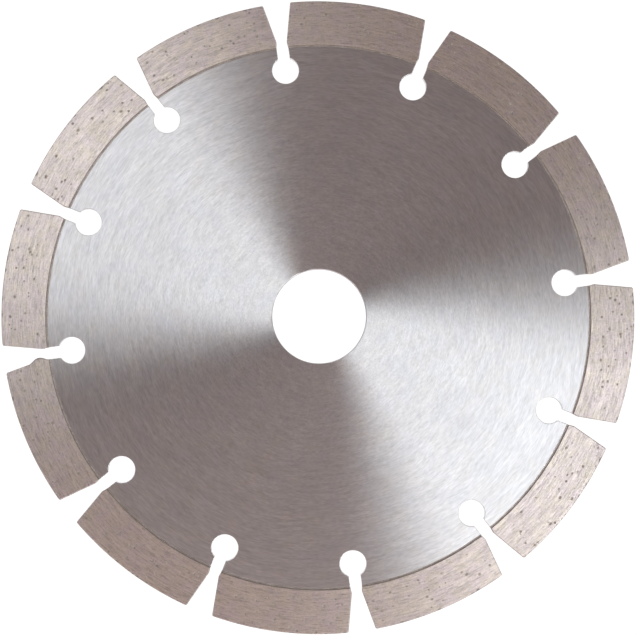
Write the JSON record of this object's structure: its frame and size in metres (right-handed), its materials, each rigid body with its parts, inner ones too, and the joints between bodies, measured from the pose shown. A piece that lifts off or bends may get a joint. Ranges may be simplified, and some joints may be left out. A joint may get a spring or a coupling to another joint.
{
  "type": "segmented diamond saw blade",
  "caption": "Flat round saw blade: a steel core with a plain bore and keyhole gullets, and welded diamond segments around its rim.",
  "frame": {"origin": "centre of the bore at the core's mid-plane", "axes": "+Z along the bore; the blade lies flat in XY; the first gullet counter-clockwise from +X is at 7.8 degrees"},
  "size_m": [0.15, 0.15, 0.0024],
  "materials": {
    "core_steel": "circularly ground, fine arcs about the bore",
    "weld_metal": "laser weld, dark heat tint",
    "foot_metal": "sintered iron backing, ground",
    "segment_matrix": "sintered metal matrix, ground along the rim",
    "diamond": "crystalline, dark against the matrix"
  },
  "bodies": {
    "root": {"steel_core": "core_steel", "weld_seam_01": "weld_metal", "weld_seam_02": "weld_metal", "weld_seam_03": "weld_metal", "weld_seam_04": "weld_metal", "weld_seam_05": "weld_metal", "weld_seam_06": "weld_metal", "weld_seam_07": "weld_metal", "weld_seam_08": "weld_metal", "weld_seam_09": "weld_metal", "weld_seam_10": "weld_metal", "weld_seam_11": "weld_metal", "weld_seam_12": "weld_metal", "segment_foot_01": "foot_metal", "segment_foot_02": "foot_metal", "segment_foot_03": "foot_metal", "segment_foot_04": "foot_metal", "segment_foot_05": "foot_metal", "segment_foot_06": "foot_metal", "segment_foot_07": "foot_metal", "segment_foot_08": "foot_metal", "segment_foot_09": "foot_metal", "segment_foot_10": "foot_metal", "segment_foot_11": "foot_metal", "segment_foot_12": "foot_metal", "segment_01": "segment_matrix", "segment_02": "segment_matrix", "segment_03": "segment_matrix", "segment_04": "segment_matrix", "segment_05": "segment_matrix", "segment_06": "segment_matrix", "segment_07": "segment_matrix", "segment_08": "segment_matrix", "segment_09": "segment_matrix", "segment_10": "segment_matrix", "segment_11": "segment_matrix", "segment_12": "segment_matrix", "diamond_grit_01": "diamond", "diamond_grit_02": "diamond", "diamond_grit_03": "diamond", "diamond_grit_04": "diamond", "diamond_grit_05": "diamond", "diamond_grit_06": "diamond", "diamond_grit_07": "diamond", "diamond_grit_08": "diamond", "diamond_grit_09": "diamond", "diamond_grit_10": "diamond", "diamond_grit_11": "diamond", "diamond_grit_12": "diamond"}
  },
  "joints": []
}
